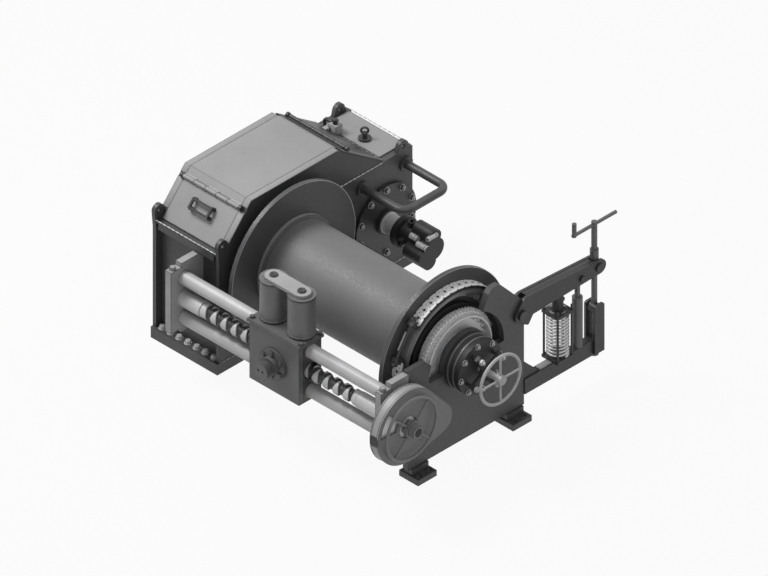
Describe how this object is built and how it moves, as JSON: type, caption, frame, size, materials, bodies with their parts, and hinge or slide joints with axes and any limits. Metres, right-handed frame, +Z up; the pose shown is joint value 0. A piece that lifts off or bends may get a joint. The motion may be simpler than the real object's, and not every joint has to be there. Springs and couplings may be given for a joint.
{
  "type": "electric winch",
  "caption": "Geared deck winch: motor-driven rope drum with a dog clutch, a spring band brake, and a carriage with upright rollers driven by a cross-cut screw to lay the rope.",
  "frame": {"origin": "on the deck, below the middle of the whole machine's box", "axes": "+X along the drum towards the clutch end, +Y away from the rope side, +Z up"},
  "size_m": [1.716, 1.507, 0.8179],
  "materials": {
    "dark_paint": "satin",
    "grey_paint": "satin",
    "drum_grey": "satin",
    "machined_steel": "machined",
    "gear_steel": "machined",
    "motor_metal": "cast",
    "bronze": "machined",
    "roller_grey": "satin",
    "zinc": "zinc plated",
    "spring_steel": "plated"
  },
  "bodies": {
    "frame": {"base": "dark_paint", "outer_side_plate": "dark_paint", "inner_side_plate": "dark_paint", "case_walls": "dark_paint", "top_cover": "grey_paint", "rear_cover": "grey_paint", "filler_cap": "dark_paint", "tube_guard": "dark_paint", "motor_mount_plate": "dark_paint", "motor": "motor_metal", "motor_shelf": "dark_paint", "case_bolts": "zinc", "shaft_bearings": "dark_paint", "guide_rods": "machined_steel", "left_bracket": "machined_steel", "right_bracket": "machined_steel", "gear_casing": "grey_paint", "casing_cover": "grey_paint", "stand_plate": "dark_paint", "stand_feet": "dark_paint", "outboard_bearing": "dark_paint", "brake_band": "zinc", "lever_bracket": "dark_paint", "brake_spring": "spring_steel", "brake_strut": "zinc", "pivot_pin": "machined_steel"},
    "hatch": {"front_hatch": "grey_paint", "hatch_handle": "dark_paint", "hatch_pin": "dark_paint"},
    "drum": {"drum_barrel": "drum_grey", "left_flange": "dark_paint", "right_flange": "dark_paint", "drum_bushes": "bronze", "brake_drum": "drum_grey", "drum_hub": "dark_paint", "ring_gear": "gear_steel"},
    "shaft": {"drum_shaft": "machined_steel", "drum_gear": "gear_steel"},
    "countershaft": {"countershaft": "gear_steel", "countershaft_gear": "gear_steel"},
    "motor_shaft": {"motor_pinion": "gear_steel"},
    "carriage": {"carriage_box": "dark_paint", "carriage_front_plate": "dark_paint", "carriage_top_plate": "dark_paint", "rod_bushes": "bronze", "roller_pins": "machined_steel"},
    "left_roller": {"left_roller": "roller_grey"},
    "right_roller": {"right_roller": "roller_grey"},
    "follower": {"follower": "machined_steel"},
    "screw": {"traverse_screw": "machined_steel", "screw_gear": "gear_steel", "level_wind_handwheel": "dark_paint"},
    "idler": {"idler_shaft": "gear_steel"},
    "clutch_sleeve": {"clutch_sleeve": "gear_steel"},
    "clutch_yoke": {"clutch_yoke": "machined_steel"},
    "clutch_wheel": {"clutch_handwheel": "dark_paint"},
    "lever": {"brake_lever": "dark_paint"},
    "spring_cap": {"spring_cap": "machined_steel"},
    "strut_rod": {"strut_rod": "machined_steel"},
    "spindle": {"brake_spindle": "machined_steel"}
  },
  "joints": [
    {"name": "drum_spin", "type": "hinge", "parent": "frame", "child": "drum", "pos_m": [-0.377, -0.1425, 0.453], "axis": [1, 0, 0], "continuous": true},
    {"name": "shaft_spin", "type": "hinge", "parent": "frame", "child": "shaft", "pos_m": [-0.465, -0.1425, 0.453], "axis": [1, 0, 0], "continuous": true},
    {"name": "countershaft_spin", "type": "hinge", "parent": "frame", "child": "countershaft", "pos_m": [-0.565, 0.22259, 0.36737], "axis": [1, 0, 0], "continuous": true},
    {"name": "motor_spin", "type": "hinge", "parent": "frame", "child": "motor_shaft", "pos_m": [-0.565, 0.47886, 0.30395], "axis": [1, 0, 0], "continuous": true},
    {"name": "idler_spin", "type": "hinge", "parent": "frame", "child": "idler", "pos_m": [0.612, -0.38763, 0.31358], "axis": [1, 0, 0], "continuous": true},
    {"name": "screw_spin", "type": "hinge", "parent": "frame", "child": "screw", "pos_m": [-0.465, -0.5765, 0.373], "axis": [1, 0, 0], "continuous": true},
    {"name": "carriage_slide", "type": "slide", "parent": "frame", "child": "carriage", "axis": [1, 0, 0], "range_m": [-0.34, 0.38]},
    {"name": "left_roller_spin", "type": "hinge", "parent": "carriage", "child": "left_roller", "pos_m": [-0.0695, -0.5665, 0.5313], "axis": [0, 0, 1], "continuous": true},
    {"name": "right_roller_spin", "type": "hinge", "parent": "carriage", "child": "right_roller", "pos_m": [0.0955, -0.5665, 0.5313], "axis": [0, 0, 1], "continuous": true},
    {"name": "follower_swivel", "type": "hinge", "parent": "carriage", "child": "follower", "pos_m": [0.013, -0.6365, 0.373], "axis": [0, -1, 0], "range_deg": [-35, 35]},
    {"name": "clutch_wheel_turn", "type": "hinge", "parent": "frame", "child": "clutch_wheel", "pos_m": [0.842, -0.1425, 0.453], "axis": [1, 0, 0], "range_deg": [0, 989]},
    {"name": "clutch_yoke_slide", "type": "slide", "parent": "frame", "child": "clutch_yoke", "axis": [1, 0, 0], "range_m": [0, 0.022]},
    {"name": "clutch_sleeve_slide", "type": "slide", "parent": "shaft", "child": "clutch_sleeve", "axis": [1, 0, 0], "range_m": [0, 0.022]},
    {"name": "spindle_turn", "type": "hinge", "parent": "frame", "child": "spindle", "pos_m": [0.627, 0.6255, 0.548], "axis": [0, 0, 1], "range_deg": [0, 888]},
    {"name": "lever_tilt", "type": "hinge", "parent": "frame", "child": "lever", "pos_m": [0.627, 0.1725, 0.53], "axis": [-1, 0, 0], "range_deg": [0, 2.5]},
    {"name": "spring_cap_slide", "type": "slide", "parent": "frame", "child": "spring_cap", "axis": [0, 0, -1], "range_m": [0, 0.0112], "deforming": ["brake_spring"]},
    {"name": "strut_slide", "type": "slide", "parent": "frame", "child": "strut_rod", "axis": [0, 0, -1], "range_m": [0, 0.0156]},
    {"name": "hatch_hinge", "type": "hinge", "parent": "frame", "child": "hatch", "pos_m": [-0.665, -0.3422, 0.7614], "axis": [-1, 0, 0], "range_deg": [0, 100]}
  ],
  "couplings": [
    {"joint": "shaft_spin", "follows": "drum_spin", "ratio": 1},
    {"joint": "countershaft_spin", "follows": "drum_spin", "ratio": -3.4118},
    {"joint": "motor_spin", "follows": "drum_spin", "ratio": 9.098},
    {"joint": "idler_spin", "follows": "drum_spin", "ratio": -2.6154},
    {"joint": "screw_spin", "follows": "drum_spin", "ratio": 0.83692},
    {"joint": "clutch_yoke_slide", "follows": "clutch_wheel_turn", "m_per_rad": 0.0012732},
    {"joint": "clutch_sleeve_slide", "follows": "clutch_wheel_turn", "m_per_rad": 0.0012732},
    {"joint": "lever_tilt", "follows": "spindle_turn", "ratio": 0.0028107},
    {"joint": "spring_cap_slide", "follows": "spindle_turn", "m_per_rad": 0.00070329},
    {"joint": "strut_slide", "follows": "spindle_turn", "m_per_rad": 0.00099349}
  ]
}
